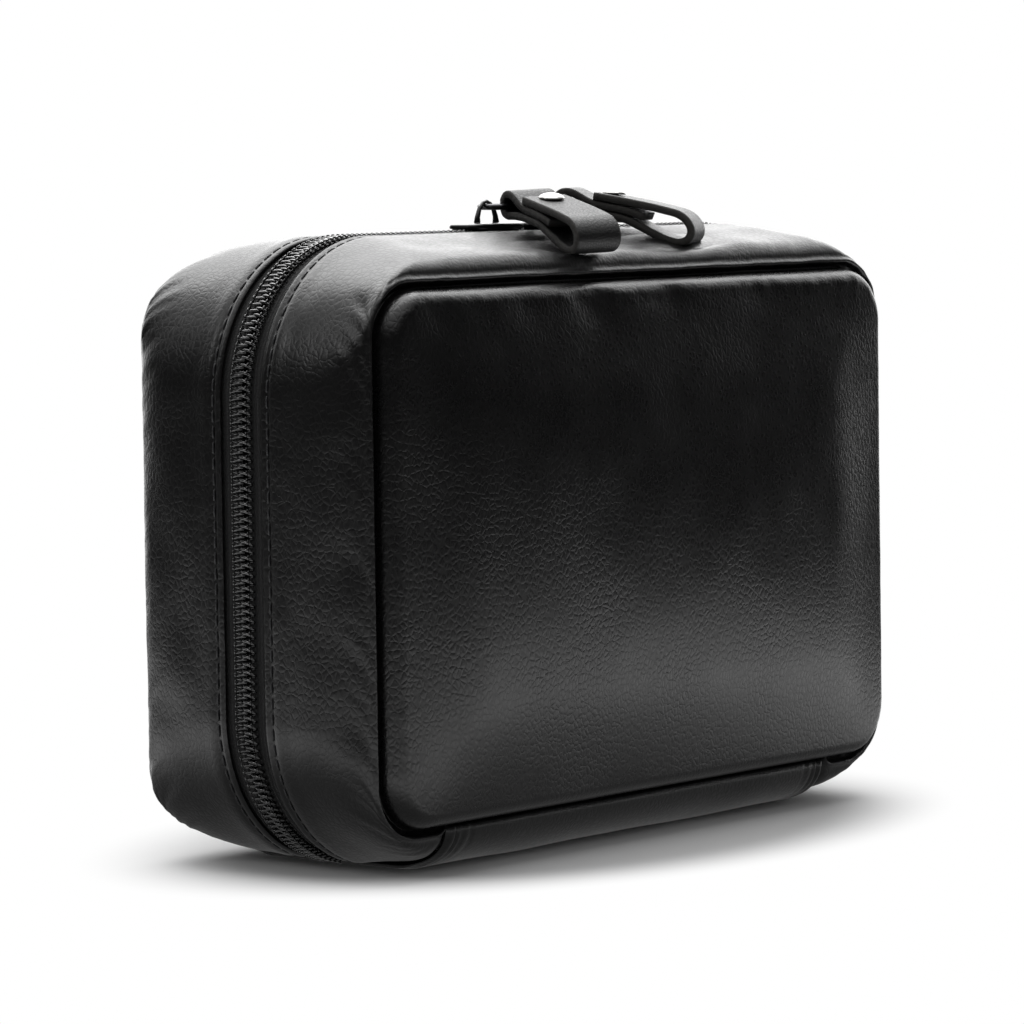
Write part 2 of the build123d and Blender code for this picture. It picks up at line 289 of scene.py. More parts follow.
def make_pebbled_leather(name, pebble, relief, roughness, dullness, crease=None):
    """Grained leather: pebble size and relief in millimetres, and how its drawn-out creases are stretched."""
    material, shader, place = start_material(name, IOR=1.5)
    wander = add_node(material, "TexNoise", Vector=place, Scale=1 / (pebble * 2.2 * mm), Detail=2)
    upright = add_node(material, "Mapping", Vector=place, Scale=(1, 1, 0.8))
    bent = add_node(material, "VectorMath", {"operation": "MULTIPLY_ADD"}, in0=wander.outputs["Color"],
                    in1=(PEBBLE_WANDER * pebble * mm,) * 3, in2=upright)
    cells = add_node(material, "TexVoronoi", {"feature": "DISTANCE_TO_EDGE"}, Vector=bent,
                     Scale=1 / (pebble * mm), Randomness=1.0)
    fine = add_node(material, "TexVoronoi", {"feature": "SMOOTH_F1"}, Vector=bent,
                    Scale=FINE_GRAIN / (pebble * mm))
    pores = add_node(material, "TexNoise", Vector=place, Scale=1 / (PORE * mm), Detail=3)
    domed = add_node(material, "ValToRGB", Fac=cells)
    stops = domed.color_ramp.elements
    while len(stops) < len(PEBBLE_RISE):
        stops.new(0.5)
    for stop, (at, grey) in zip(stops, PEBBLE_RISE):
        stop.position = at
        stop.color = (grey, grey, grey, 1)
    domes = domed.outputs["Color"]
    patch = add_node(material, "TexNoise", Vector=place, Scale=1 / (HIDE_PATCH * mm), Detail=3)
    depth_here = add_node(material, "MapRange", Value=patch, From_Min=0.3, From_Max=0.7, To_Min=0.35,
                          To_Max=1.0)
    grain = add_node(material, "Math", {"operation": "MULTIPLY"}, in0=domes, in1=depth_here)
    small = add_node(material, "Math", {"operation": "MULTIPLY_ADD"}, in0=fine, in1=-0.2, in2=grain)
    height = add_node(material, "Math", {"operation": "MULTIPLY_ADD"}, in0=pores, in1=0.08, in2=small)
    if crease:
        squeezed = add_node(material, "Mapping", Vector=place, Scale=crease)
        lines = add_node(material, "TexNoise", {"noise_type": "RIDGED_MULTIFRACTAL"}, Vector=squeezed,
                         Scale=1 / (CREASE_PITCH * mm), Detail=2)
        height = add_node(material, "Math", {"operation": "MULTIPLY_ADD"}, in0=lines, in1=-0.14, in2=height)
    worn = add_node(material, "MapRange", Value=patch, From_Min=0.3, From_Max=0.7, To_Min=roughness - 0.02,
                    To_Max=roughness + 0.03)
    dull = add_node(material, "MapRange", Value=domes, To_Min=dullness, To_Max=0.0)
    rough = add_node(material, "Math", {"operation": "ADD"}, in0=worn, in1=dull)
    tint = add_node(material, "Mix", {"data_type": "RGBA"}, in0=patch, in6="#0b0b0c", in7="#121112")
    # Painted shade: the base colour is darkened to near black in the creases between the pebbles.
    tint_with_painted_crease_shade = add_node(material, "Mix", {"data_type": "RGBA"}, in0=domes, in6="#030303", in7=tint)
    return finish_material(material, shader, height, 1.0, relief, Roughness=rough, Base_Color=tint_with_painted_crease_shade)


WALL_LEATHER = make_pebbled_leather("pebbled_calf_wall", pebble=1.5, relief=0.06, roughness=0.29,
                                    dullness=0.07, crease=(0.45, 0.3, 1.7))
EDGE_DEPTHS = ((0.0, -0.7), (0.12, -0.32), (0.4, -0.1), (0.9, 0.0))
STITCHED_DEPTHS = (1.2, 1.5, 1.8, 2.05, 2.3, 2.55, 2.8, 3.1, 3.5, 4.0, 4.6, 5.3, 6.2)
LIP_PLACES = ((-0.45, 1.85), (-0.1, 1.6), (0.05, 1.25), (-0.1, 0.9), (-0.6, 0.65), (-1.4, 0.5), (-2.4, 0.1),
              (-2.7, -1.0))
WALL_STEPS = 34


def wall_sections():
    """Sizes of the wall's outer face from the zip to the seam, then of its inner face on the way back."""
    outer = [zip_size(ZIP_EDGE + depth, offset) for depth, offset in EDGE_DEPTHS]
    inner = [zip_size(ZIP_EDGE + depth + 0.25, -LEATHER - offset) for depth, offset in EDGE_DEPTHS]
    shares = [depth / WALL_RUN for depth in STITCHED_DEPTHS]
    shares += [sin(pi / 2 * step / WALL_STEPS) ** (2 / SWELL_POWER) for step in range(5, WALL_STEPS)]
    for share in shares:
        outer.append(wall_size(share))
        inner.append(wall_size(share * 0.955 + 0.01, -LEATHER))
    for depth, offset in LIP_PLACES:
        outer.append(seam_size(SEAM_DEPTH + depth, offset))
        inner.append(seam_size(SEAM_DEPTH - 2.7 + 0.1 * depth, offset - 0.6 * LEATHER))
    return outer + inner[::-1]


for side, half in HALVES:
    sections = wall_sections()
    outer_count = len(sections) // 2
    rows = [wall_row(side, size) for size in sections[:outer_count]]
    rows += [wall_row(side, size, give=False) for size in sections[outer_count:]]
    wall = skin(f"{half}_wall_leather", rows, WALL_LEATHER, wrap_rows=True, cap_ends=True)
    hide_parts(f"{half}_gusset", f"{half}_interlining")
    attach(wall, f"{half}_half")


# Topstitching: a line of black bonded nylon thread along the folded zip edge, each stitch a short hump
# of thread that dives into the leather at both ends.
STITCH_PITCH = 3.7
STITCH_LENGTH = 2.9
THREAD_RADIUS = 0.27
THREAD_SIDES = 6


def close_ends(piece, sides=0):
    """Fill a mesh's open ends and point its faces outwards."""
    shape = bmesh.new()
    shape.from_mesh(piece.data)
    bmesh.ops.holes_fill(shape, edges=shape.edges, sides=sides)
    bmesh.ops.recalc_face_normals(shape, faces=shape.faces)
    shape.to_mesh(piece.data)
    shape.free()


def bent_tube(name, path, radius, sides):
    """A small tube through a few points, closed at both ends."""
    rows = []
    for index, point in enumerate(path):
        before = path[max(index - 1, 0)]
        after = path[min(index + 1, len(path) - 1)]
        ahead = (after - before).normalized()
        flat = ahead.cross(Vector((0, 0, 1)))
        flat = flat.normalized() if flat.length > 0.05 else Vector((0, 1, 0))
        rise = flat.cross(ahead)
        size = radius[index] if isinstance(radius, list) else radius
        rows.append([point + size * (cos(2 * pi * turn / sides) * flat + sin(2 * pi * turn / sides) * rise)
                     for turn in range(sides)])
    tube = skin(name, rows, wrap_points=True)
    close_ends(tube, sides)
    return tube


def line_object(name, points):
    """A poly curve through the points, to carry what repeats along it."""
    curve = bpy.data.curves.new(name, "CURVE")
    curve.dimensions = "3D"
    spline = curve.splines.new("POLY")
    spline.points.add(len(points) - 1)
    for point, place in zip(spline.points, points):
        point.co = (*place, 1)
    return add_object(name, curve)


def make_repeat_tree():
    """Geometry Nodes: one shape at every pitch along a curve, its X along it and its Z out of the case."""
    tree = bpy.data.node_groups.new("repeat_along_edge", "GeometryNodeTree")
    for name, kind in (("Line", "Geometry"), ("Shape", "Object"), ("Pitch", "Float"), ("Finish", "Material")):
        tree.interface.new_socket(name, in_out="INPUT", socket_type="NodeSocket" + kind)
    tree.interface.new_socket("Pieces", in_out="OUTPUT", socket_type="NodeSocketGeometry")
    start = tree.nodes.new("NodeGroupInput")
    end = tree.nodes.new("NodeGroupOutput")
    spaced = tree.nodes.new("GeometryNodeResampleCurve")
    spaced.mode = "LENGTH"
    shape = tree.nodes.new("GeometryNodeObjectInfo")
    tangent = tree.nodes.new("GeometryNodeInputTangent")
    turn = tree.nodes.new("FunctionNodeAlignRotationToVector")
    turn.axis = "X"
    turn.pivot_axis = "Y"
    place = tree.nodes.new("GeometryNodeInstanceOnPoints")
    real = tree.nodes.new("GeometryNodeRealizeInstances")
    finish = tree.nodes.new("GeometryNodeSetMaterial")
    link = tree.links.new
    link(start.outputs["Line"], spaced.inputs["Curve"])
    link(start.outputs["Pitch"], spaced.inputs["Length"])
    link(start.outputs["Shape"], shape.inputs["Object"])
    link(spaced.outputs["Curve"], place.inputs["Points"])
    link(shape.outputs["Geometry"], place.inputs["Instance"])
    link(tangent.outputs["Tangent"], turn.inputs["Vector"])
    link(turn.outputs["Rotation"], place.inputs["Rotation"])
    link(place.outputs["Instances"], real.inputs["Geometry"])
    link(real.outputs["Geometry"], finish.inputs["Geometry"])
    link(start.outputs["Finish"], finish.inputs["Material"])
    link(finish.outputs["Geometry"], end.inputs["Pieces"])
    return tree


REPEAT_TREE = make_repeat_tree()


def repeat_along(name, points, shape, pitch, finish):
    """The shape repeated along a line of points, as one plain mesh."""
    carrier = line_object(name + "_line", points[::-1])
    modifier = carrier.modifiers.new("repeat", "NODES")
    modifier.node_group = REPEAT_TREE
    items = REPEAT_TREE.interface.items_tree
    sockets = {item.name: item.identifier for item in items if item.in_out == "INPUT"}
    modifier[sockets["Shape"]] = shape
    modifier[sockets["Pitch"]] = pitch * mm
    modifier[sockets["Finish"]] = finish
    evaluated = carrier.evaluated_get(bpy.context.evaluated_depsgraph_get())
    mesh = bpy.data.meshes.new_from_object(evaluated)
    mesh.name = name
    bpy.data.objects.remove(carrier)
    return add_object(name, mesh)


def make_thread():
    """Bonded nylon thread: twisted, waxed and matt, a shade greyer than the leather."""
    material, shader, place = start_material("bonded_nylon_thread", Base_Color="#1d1d1f", Roughness=0.55)
    twist = add_node(material, "TexNoise", Vector=place, Scale=1 / (0.25 * mm), Detail=1)
    return finish_material(material, shader, twist, 0.6, 0.06)


THREAD = make_thread()
half_stitch = STITCH_LENGTH / 2
STITCH_HUMP = ((-1, -0.30), (-0.75, 0.02), (0, 0.10), (0.75, 0.02), (1, -0.30))
stitch_path = [spot(share * half_stitch, 0, z) for share, z in STITCH_HUMP]
stitch = bent_tube("one_stitch", stitch_path, THREAD_RADIUS * mm, THREAD_SIDES)
for side, half in HALVES:
    line = wall_row(side, zip_size(STITCH_DEPTH, 0.05))
    seam = repeat_along(f"{half}_topstitching", line[3:-3], stitch, STITCH_PITCH, THREAD)
    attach(seam, f"{half}_half")
bpy.data.objects.remove(stitch)


# Face panels: a crowned skin of the same leather over foam, sewn to the wall in a turned seam, so that its
# edge rolls down into a narrow dark groove all round. The front one has puckers along its top edge.
PANEL_LEATHER = make_pebbled_leather("pebbled_calf_panel", pebble=1.4, relief=0.055, roughness=0.26,
                                     dullness=0.05)
CROWN = 6.3
CROWN_REACH = 16
DOME = 3.6
CORNER_BLEND = 9
PANEL_GAP = 0.7
PANEL_RINGS = 46
PANEL_EDGE = ((0, -2.4), (0.2, -0.8), (0.5, 0.9), (0.9, 2.0), (1.5, 3.0), (2.2, 3.7), (3.2, 4.25))
DENTS = ((-24, 133, 7, 6, 0.75), (7, 133.5, 8, 5, 0.65), (-48, 134, 8, 5, 0.45), (42, 134, 10, 4, 0.35),
         (-82, 131, 6, 5, 0.45))


def panel_rise(side, x, z, inset):
    """Height of the panel's face over its seam at a place, in millimetres."""
    across = PANEL_WIDTH / 2 - abs(x)
    up = PANEL_HEIGHT / 2 - abs(z - MID_HEIGHT)
    soft_inset = min(across, up) - 0.7 * CORNER_BLEND * exp(-abs(across - up) / CORNER_BLEND)
    reach = max(inset + (soft_inset - inset) * smooth(inset, 3, 16), 0)
    edge_inset, edge_rise = PANEL_EDGE[-1]
    rise = edge_rise + (CROWN - edge_rise) * (1 - exp(-max(reach - edge_inset, 0) / CROWN_REACH))
    for (low_inset, low_rise), (high_inset, high_rise) in zip(PANEL_EDGE, PANEL_EDGE[1:]):
        if inset < high_inset:
            rise = low_rise + (high_rise - low_rise) * (inset - low_inset) / (high_inset - low_inset)
            break
    dome = DOME * (1 - ((z - MID_HEIGHT) / (PANEL_HEIGHT / 2)) ** 2) * (1 - (2 * x / PANEL_WIDTH) ** 4)
    rise += dome * smooth(inset, 0, 30)
    seed = 3.1 * side
    wide = waver(x / 48, z / 40, seed)
    local = waver(x / 17, z / 15, seed + 5)
    rise += (0.14 * wide + 0.04 * local) * smooth(inset, 2, 14)
    pucker = waver(x / 3.4, z / 3.4, seed + 11)
    top_edge = smooth(z, 120, 137)
    rise += (0.06 + 0.16 * top_edge) * pucker * smooth(inset, 0.8, 2) * (1 - smooth(inset, 3, 9))
    if side == FRONT:
        for dent_x, dent_z, spread_x, spread_z, dent in DENTS:
            rise -= dent * bump(x, dent_x, spread_x) * bump(z, dent_z, spread_z) * smooth(inset, 0.8, 3)
    return rise


def panel_rings():
    """Insets of the rings of points from the seam to the middle, close together at the rolled edge."""
    edge = [0, 0.12, 0.25, 0.45, 0.7, 1.0, 1.3, 1.7, 2.1, 2.6, 3.2, 4.0, 5.0]
    last = PANEL_HEIGHT / 2 - PANEL_GAP - 0.01
    return edge + [5.0 + (last - 5.0) * (ring / PANEL_RINGS) ** 1.15 for ring in range(1, PANEL_RINGS + 1)]


for side, half in HALVES:
    rows = []
    for inset in panel_rings():
        radius = max(PANEL_RADIUS - 0.1 - 0.6 * inset, 0.5)
        width = PANEL_WIDTH - 2 * PANEL_GAP - 2 * inset
        height = PANEL_HEIGHT - 2 * PANEL_GAP - 2 * inset
        radius = min(radius, height / 2 - 0.001) if height > 0.01 else 0.0005
        row = []
        for x, z, nx, nz in outline(width, height, radius, 0.0)[0][:-1]:
            rise = panel_rise(side, x, z + MID_HEIGHT, inset)
            row.append(spot(x, side * (SEAM_DEPTH + rise), z + MID_HEIGHT))
        rows.append(row)
    under = [Vector((point.x, side * (SEAM_DEPTH - 2.0) * mm, point.z)) for point in rows[0]]
    panel = skin(f"{half}_panel_leather", [under] + rows, PANEL_LEATHER, wrap_points=True)
    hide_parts(f"{half}_panel", f"{half}_padding")
    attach(panel, f"{half}_half")


# Hinge: one piece of the wall leather across the bottom, rolled up into both panel seams. The case stands on
# it. Its short ends are turned in beside the walls' ends.
HINGE_HALF = 76.0
HINGE_FLAT = 20
HINGE_RISE = 11
HINGE_COLUMNS = 120
HINGE_TUCKS = ((3.4, 0.7), (5.6, 0.55), (8.6, 0.3))


def hinge_profile(offset):
    """Depth and height across the hinge from the front seam to the back one, moved in by the offset."""
    roll = SEAM_DEPTH + 0.35 - HINGE_FLAT
    front = [(SEAM_DEPTH - 1.6 - offset, HINGE_RISE + 0.9), (SEAM_DEPTH - 0.5 - offset, HINGE_RISE + 0.7),
             (SEAM_DEPTH + 0.1 - offset, HINGE_RISE + 0.35)]
    for step in range(15):
        turn = pi / 2 * (1 - step / 14)
        front.append((HINGE_FLAT + (roll - offset) * sin(turn),
                      HINGE_RISE - (HINGE_RISE - offset) * cos(turn)))
    flat = [(depth, offset) for depth in (18, 16, 14, 12, 10, 8, 6, 5, 4, 3, 2, 1)]
    near = front + flat
    return [(-depth, z) for depth, z in near] + [(0, offset)] + [(depth, z) for depth, z in reversed(near)]


def hinge_row(profile_point, inner):
    """Along the hinge at one place of its profile, with slack, turned ends and small tucks outside."""
    depth, z = profile_point
    row = []
    for column in range(HINGE_COLUMNS + 1):
        share = 2 * column / HINGE_COLUMNS - 1
        x = HINGE_HALF * (share * (1.35 - 0.35 * share * share))
        painted_shade_near_case = HINGE_HALF - abs(x)
        give = 0
        if not inner:
            rolled = smooth(abs(depth), 20, 27)
            give += 0.45 * waver(x / 26, depth / 14, 4) * rolled
            give -= 1.1 * (1 - smooth(painted_shade_near_case, 0, 1.8)) * (0.3 + 0.7 * rolled)
            for tuck, deep in HINGE_TUCKS:
                give -= deep * bump(painted_shade_near_case + 0.9 * sin(depth / 6), tuck, 0.42) * rolled
        slope = smooth(abs(depth), 18, 37)
        facing = (depth > 0) - (depth < 0)
        direction = Vector((0, facing * slope, slope - 1)).normalized()
        if z < 0.05 and give > 0:
            give = 0
        row.append(spot(x, depth, z) + direction * give * mm)
    return row


outer = [hinge_row(point, False) for point in hinge_profile(0)]
inner = [hinge_row(point, True) for point in hinge_profile(LEATHER)]
hinge = skin("hinge_leather", outer + inner[::-1], WALL_LEATHER, wrap_rows=True, cap_ends=True)
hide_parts("front_base", "back_base")
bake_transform(hinge)


# Zip tape: a woven polyester band under each folded edge, as wide as the gap beside the coil and sewn on
# between leather and lining.
TAPE_FACE = 1.45
TAPE_BACK = 1.95
TAPE_CUT = 73
TAPE_ROWS = (0.8, 1.6, 3.2, 4.8, 6.4, 8.0, 10.0)


def make_tape_weave():
    """Woven polyester tape in a herringbone twill: matt, with a slight streak along the warp.

    Its yarns are 0.3 mm apart in truth and are drawn about twice as coarse, so that they show.
    """
    material, shader, place = start_material("woven_polyester_tape", Base_Color="#0c0c0d", Roughness=0.85,
                                             Sheen_Weight=0.25, Sheen_Roughness=0.4)
    ribs = add_node(material, "TexWave", {"bands_direction": "Y"}, Vector=place, Scale=1 / (3.4 * mm),
                    Distortion=1.5, Detail=1)
    picks = add_node(material, "TexVoronoi", Vector=place, Scale=1 / (0.55 * mm))
    height = add_node(material, "Math", {"operation": "MULTIPLY_ADD"}, in0=picks, in1=-1.0,
                      in2=ribs.outputs["Fac"])
    return finish_material(material, shader, height, 0.7, 0.14)


TAPE = make_tape_weave()
for side, half in HALVES:
    rows = [wall_row(side, zip_size(depth, -TAPE_FACE), TAPE_CUT, give=False) for depth in TAPE_ROWS]
    rows += [wall_row(side, zip_size(depth, -TAPE_BACK), TAPE_CUT, give=False) for depth in TAPE_ROWS[::-1]]
    tape = skin(f"{half}_zip_tape_weave", rows, TAPE, wrap_rows=True, cap_ends=True)
    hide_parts(f"{half}_zip_tape")
    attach(tape, f"{half}_half")


# Zip coil: a nylon monofilament wound into flat loops and sewn to each tape with a stitch over every loop.
# The heads of one row stand between the heads of the other along the middle.
TOOTH_PITCH = 1.8
FILAMENT = 0.34
HEAD_SWELL = 1.3
COIL_CUT = 76.5


def make_filament():
    """Extruded nylon monofilament, dyed black: smooth and glossy, with a hard narrow glint on every loop."""
    material, shader, place = start_material("nylon_monofilament", Base_Color="#141415", Coat_Weight=0.8,
                                             Roughness=0.14, IOR=1.53)
    scuff = add_node(material, "TexNoise", Vector=place, Scale=1 / (0.8 * mm), Detail=2)
    return finish_material(material, shader, scuff, 0.25, 0.03)


NYLON = make_filament()
LOOP_PATH = ((-0.9, 2.95, -0.85), (-0.55, 2.85, -0.25), (-0.3, 2.3, 0.02), (0.0, 1.2, 0.05),
             (0.1, 0.25, 0.0), (0.2, -0.45, -0.3), (0.28, -0.55, -0.75), (0.36, 0.2, -1.2),
             (0.55, 1.6, -1.25), (0.9, 2.95, -0.85))
LOOP_HEAD = (5, 6)
SEWN_PATH = ((-0.6, 2.35, 0.05), (-0.35, 2.35, 0.45), (0.35, 2.35, 0.45), (0.6, 2.35, 0.05))
SEWN_THREAD = 0.2


def joined(name, parts):
    """Several meshes as one piece."""
    shape = bmesh.new()
    for part in parts:
        shape.from_mesh(part.data)
        bpy.data.objects.remove(part)
    mesh = bpy.data.meshes.new(name)
    shape.to_mesh(mesh)
    shape.free()
    mesh.shade_smooth()
    return add_object(name, mesh)


for side, half in HALVES:
    path = [spot(x, side * depth, z) for x, depth, z in LOOP_PATH]
    sizes = [FILAMENT * mm * (HEAD_SWELL if index in LOOP_HEAD else 1) for index in range(len(path))]
    sewn = [spot(x, side * depth, z) for x, depth, z in SEWN_PATH]
    loop = joined("one_loop", [bent_tube("filament", path, sizes, 6),
                               bent_tube("sewn", sewn, SEWN_THREAD * mm, 5)])
    line = wall_row(side, zip_size(0, 0.0), COIL_CUT, give=False)
    line = [Vector((point.x, 0, point.z)) for point in line]
    if side == BACK:
        step = (line[-2] - line[-1]).normalized() * TOOTH_PITCH / 2 * mm
        line = line[:-1] + [line[-1] + step]
    coil = repeat_along(f"{half}_zip_coil_loops", line, loop, TOOTH_PITCH, NYLON)
    coil.data.shade_smooth()
    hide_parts(f"{half}_zip_coil")
    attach(coil, f"{half}_half")
    bpy.data.objects.remove(loop)


# Lining: a tray of black woven lining cloth inside each half, glued over the board and stretched smooth.
# Its edge is turned and sewn over the zip tape.
LINING_FACE = 2.0
LINING_BACK = 2.7
LINING_MOUTH = 9.5
LINING_FLOOR = 33.3
LINING_INSETS = (4.5, 6, 9, 14, 22, 34, 48, 60, 63.6)


def make_lining_cloth():
    """Plain-weave polyester lining, dyed black: a faint satin sheen and a fine even thread.

    The threads are 0.2 mm apart in truth and are drawn 0.8 mm apart, so that the weave shows.
    """
    material, shader, place = start_material("plain_weave_lining", Base_Color="#17171a", Roughness=0.62,
                                             Sheen_Weight=0.3)
    warp = add_node(material, "TexWave", {"bands_direction": "X"}, Vector=place, Scale=1 / (2.6 * mm))
    weft = add_node(material, "TexWave", {"bands_direction": "Z"}, Vector=place, Scale=1 / (2.6 * mm))
    height = add_node(material, "Math", {"operation": "MULTIPLY"}, in0=warp.outputs["Fac"],
                      in1=weft.outputs["Fac"])
    return finish_material(material, shader, height, 0.5, 0.08)


LINING = make_lining_cloth()


def lining_rows(side, offset, floor):
    """Rows of the lining from its mouth down the wall and across the floor to the middle."""
    rows = []
    for step in range(12):
        share = 0.1 + 0.83 * step / 11
        size = wall_size(share, -offset - 0.3)
        rows.append(wall_row(side, (max(size[0], LINING_MOUTH),) + size[1:], 0.0, give=False)[:-1])
    for inset in LINING_INSETS:
        width = PANEL_WIDTH - 2 * inset
        height = max(PANEL_HEIGHT - 2 * inset, 0.6)
        radius = min(max(PANEL_RADIUS - inset * 0.5, 1.0), height / 2 - 0.01)
        ripple = []
        for x, z, nx, nz in outline(width, height, radius, 0.0)[0][:-1]:
            sag = 0.25 * waver(x / 19, z / 23, 2.0 * side) * smooth(inset, 6, 20)
            ripple.append(spot(x, side * (floor - abs(sag)), z + MID_HEIGHT))
        rows.append(ripple)
    return rows


for side, half in HALVES:
    rows = lining_rows(side, LINING_FACE, LINING_FLOOR + 0.6)
    rows += lining_rows(side, LINING_BACK, LINING_FLOOR)[::-1]
    lining = skin(f"{half}_lining_cloth", rows, LINING, wrap_rows=True, wrap_points=True)
    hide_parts(f"{half}_lining")
    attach(lining, f"{half}_half")


# Board: a sheet of fibre board behind each panel keeps the face flat. It is glued between foam and lining,
# which hide it.
def make_board():
    """Pressed fibre board: dull grey-brown, mottled by its fibres."""
    material, shader, place = start_material("pressed_fibre_board", Roughness=0.9)
    fibres = add_node(material, "TexNoise", Vector=place, Scale=1 / (1.2 * mm), Detail=4)
    tint = add_node(material, "Mix", {"data_type": "RGBA"}, in0=fibres, in6="#6d6559", in7="#8d8575")
    return finish_material(material, shader, fibres, 0.4, 0.1, Base_Color=tint)


def dress(node, material):
    """Give a CAD node's own mesh its finish."""
    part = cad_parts[node]
    part.data.materials.clear()
    part.data.materials.append(material)
    part.data.shade_smooth()


BOARD = make_board()
for name in ("front_stiffener", "back_stiffener"):
    dress(name, BOARD)


# Slip pocket of lining cloth on the front half, its mouth bound in thin leather, and an elastic band
# stitched into six loops on the back half.
SOFT_LEATHER = make_pebbled_leather("thin_calf_binding", pebble=0.9, relief=0.06, roughness=0.42,
                                    dullness=0.2)
POCKET_HALF = 88
POCKET_LOW = 16
POCKET_TOP = 88
POCKET_BACK = 33.25
POCKET_DEPTH = 10


def pocket_row(z, lift, thick):
    """Across the pocket at a height: out from the lining, over the front and back in."""
    row = []
    for step in range(97):
        share = 2 * step / 96 - 1
        x = POCKET_HALF * share
        edge = smooth(POCKET_HALF - abs(x), 0, 9)
        bulge = lift * edge ** 0.7
        wave = 0.5 * waver(x / 18, z / 25, 6) * edge
        y = -(POCKET_BACK - 0.4 - bulge * (POCKET_DEPTH - 1.6) - wave) - thick
        row.append(spot(x * (1 - 0.004 * thick), y, z))
    return row


def pocket_lift(z):
    """How far the pocket has opened out at a height, from its sewn bottom up."""
    return smooth(z, POCKET_LOW, POCKET_LOW + 14)


heights = [POCKET_LOW + (POCKET_TOP - POCKET_LOW) * step / 30 for step in range(31)]
rows = [pocket_row(z, pocket_lift(z), 0) for z in heights]
rows += [pocket_row(z, pocket_lift(z), 0.8) for z in reversed(heights)]
pocket = skin("front_pocket_cloth", rows, LINING, wrap_rows=True, cap_ends=True)
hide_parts("front_pocket")
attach(pocket, "front_half")

BINDING_FOLD = ((-8, -0.35), (0.4, -0.35), (0.8, 0), (0.8, 0.8), (0.4, 1.15), (-8, 1.15))
rows = [pocket_row(POCKET_TOP + rise, 1, thick) for rise, thick in BINDING_FOLD]
binding = skin("front_pocket_binding_leather", rows, SOFT_LEATHER, wrap_rows=True, cap_ends=True)
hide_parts("front_pocket_binding")
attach(binding, "front_half")

LOOP_COUNT = 6
LOOP_SPACING = 26
LOOP_WIDTH = 20
LOOP_RISE = 12
LOOP_STEPS = 40
BAND_LOW = 62
BAND_HEIGHT = 28
BAND_LINE = 32.75


def make_elastic():
    """Woven elastic: ribs across the band where the rubber cores lie, matt black polyester over them."""
    material, shader, place = start_material("woven_elastic", Base_Color="#161618", Roughness=0.75,
                                             Sheen_Weight=0.2)
    ribs = add_node(material, "TexWave", {"bands_direction": "Z"}, Vector=place, Scale=1 / (4.5 * mm))
    yarn = add_node(material, "TexNoise", Vector=place, Scale=1 / (0.4 * mm), Detail=2)
    height = add_node(material, "Math", {"operation": "MULTIPLY_ADD"}, in0=yarn, in1=0.4,
                      in2=ribs.outputs["Fac"])
    return finish_material(material, shader, height, 0.7, 0.18)


def band_row(z, inward):
    """Along the elastic band at a height, up into each loop and down to the stitches between two."""
    row = []
    length = LOOP_COUNT * LOOP_SPACING
    for step in range(LOOP_COUNT * LOOP_STEPS + 1):
        x = -length / 2 + length * step / (LOOP_COUNT * LOOP_STEPS)
        place = (x + length / 2) % LOOP_SPACING - LOOP_SPACING / 2
        share = min(abs(place) / (LOOP_WIDTH / 2), 1)
        rise = LOOP_RISE * sqrt(max(1 - share ** 2.2, 0))
        row.append(spot(x, BAND_LINE - rise - inward, z))
    return row


heights = [BAND_LOW + BAND_HEIGHT * step / 12 for step in range(13)]
rows = [band_row(z, 0.4) for z in heights] + [band_row(z, -0.4) for z in reversed(heights)]
band = skin("back_elastic_band", rows, make_elastic(), wrap_rows=True, cap_ends=True)
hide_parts("back_elastic_loops")
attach(band, "back_half")


# Sliders and pull rings: each slider is die-cast zinc in black lacquer, a top plate with rolled flanges, a
# sole under the tape, a neck that parts the rows and a bridge on top. A wire ring in black nickel hangs
# from it.
def make_lacquer():
    """Stoved black lacquer on zinc: a hard thin gloss with a little orange peel."""
    material, shader, place = start_material("black_lacquered_zinc", Base_Color="#0f0f10", Roughness=0.3,
                                             Coat_Weight=0.4)
    orange_peel = add_node(material, "TexNoise", Vector=place, Scale=1 / (1.4 * mm), Detail=2)
    return finish_material(material, shader, orange_peel, 0.2, 0.03)


def make_nickel(name, colour, roughness):
    """Nickel plate over steel or brass, buffed: warm grey metal with faint handling marks."""
    material, shader, place = start_material(name, Base_Color=colour, Metallic=1.0)
    marks = add_node(material, "TexNoise", Vector=place, Scale=1 / (0.9 * mm), Detail=4)
    spread = add_node(material, "MapRange", Value=marks, From_Min=0.3, From_Max=0.7,
                      To_Min=roughness - 0.06, To_Max=roughness + 0.08)
    return finish_material(material, shader, marks, 0.15, 0.02, Roughness=spread)


LACQUER = make_lacquer()
BLACK_NICKEL = make_nickel("black_nickel_wire", "#4a4a4c", 0.3)
SLIDER_PLACES = {"left": -15.2, "right": 7.2}
SLIDER_LENGTH = 20
MOUTH_HALF = 5.6
TAIL_HALF = 4.2
PLATE_LOW = 150.75
PLATE_PROFILE = ((0.6, 0.0), (0.15, 0.08), (0.0, 0.35), (0.0, 0.75), (0.2, 1.05), (0.7, 1.2), (2.4, 1.38),
                 (4.0, 1.42))
SOLE_LOW = 146.3
SOLE_PROFILE = ((0.5, 0.0), (0.0, 0.35), (0.0, 0.8), (0.5, 1.1), (3.8, 1.15))
BRIDGE_AT = 0.5
BRIDGE_PATH = ((-3.7, 151.6), (-3.5, 153.6), (-2.7, 155.6), (-1.4, 156.95), (0, 157.4), (1.4, 156.95),
               (2.7, 155.6), (3.5, 153.6), (3.7, 151.6))
BRIDGE_SIZES = (0.95, 0.7, 0.58, 0.52, 0.5, 0.52, 0.58, 0.7, 0.95)
NECK_AT = 6
NECK_HEIGHTS = (147, 149, 151)


def slider_half_width(x, facing):
    """Half the slider's width at a place along it: it widens from its tail to its mouth."""
    return TAIL_HALF + (MOUTH_HALF - TAIL_HALF) * (facing * x / SLIDER_LENGTH + 0.5)


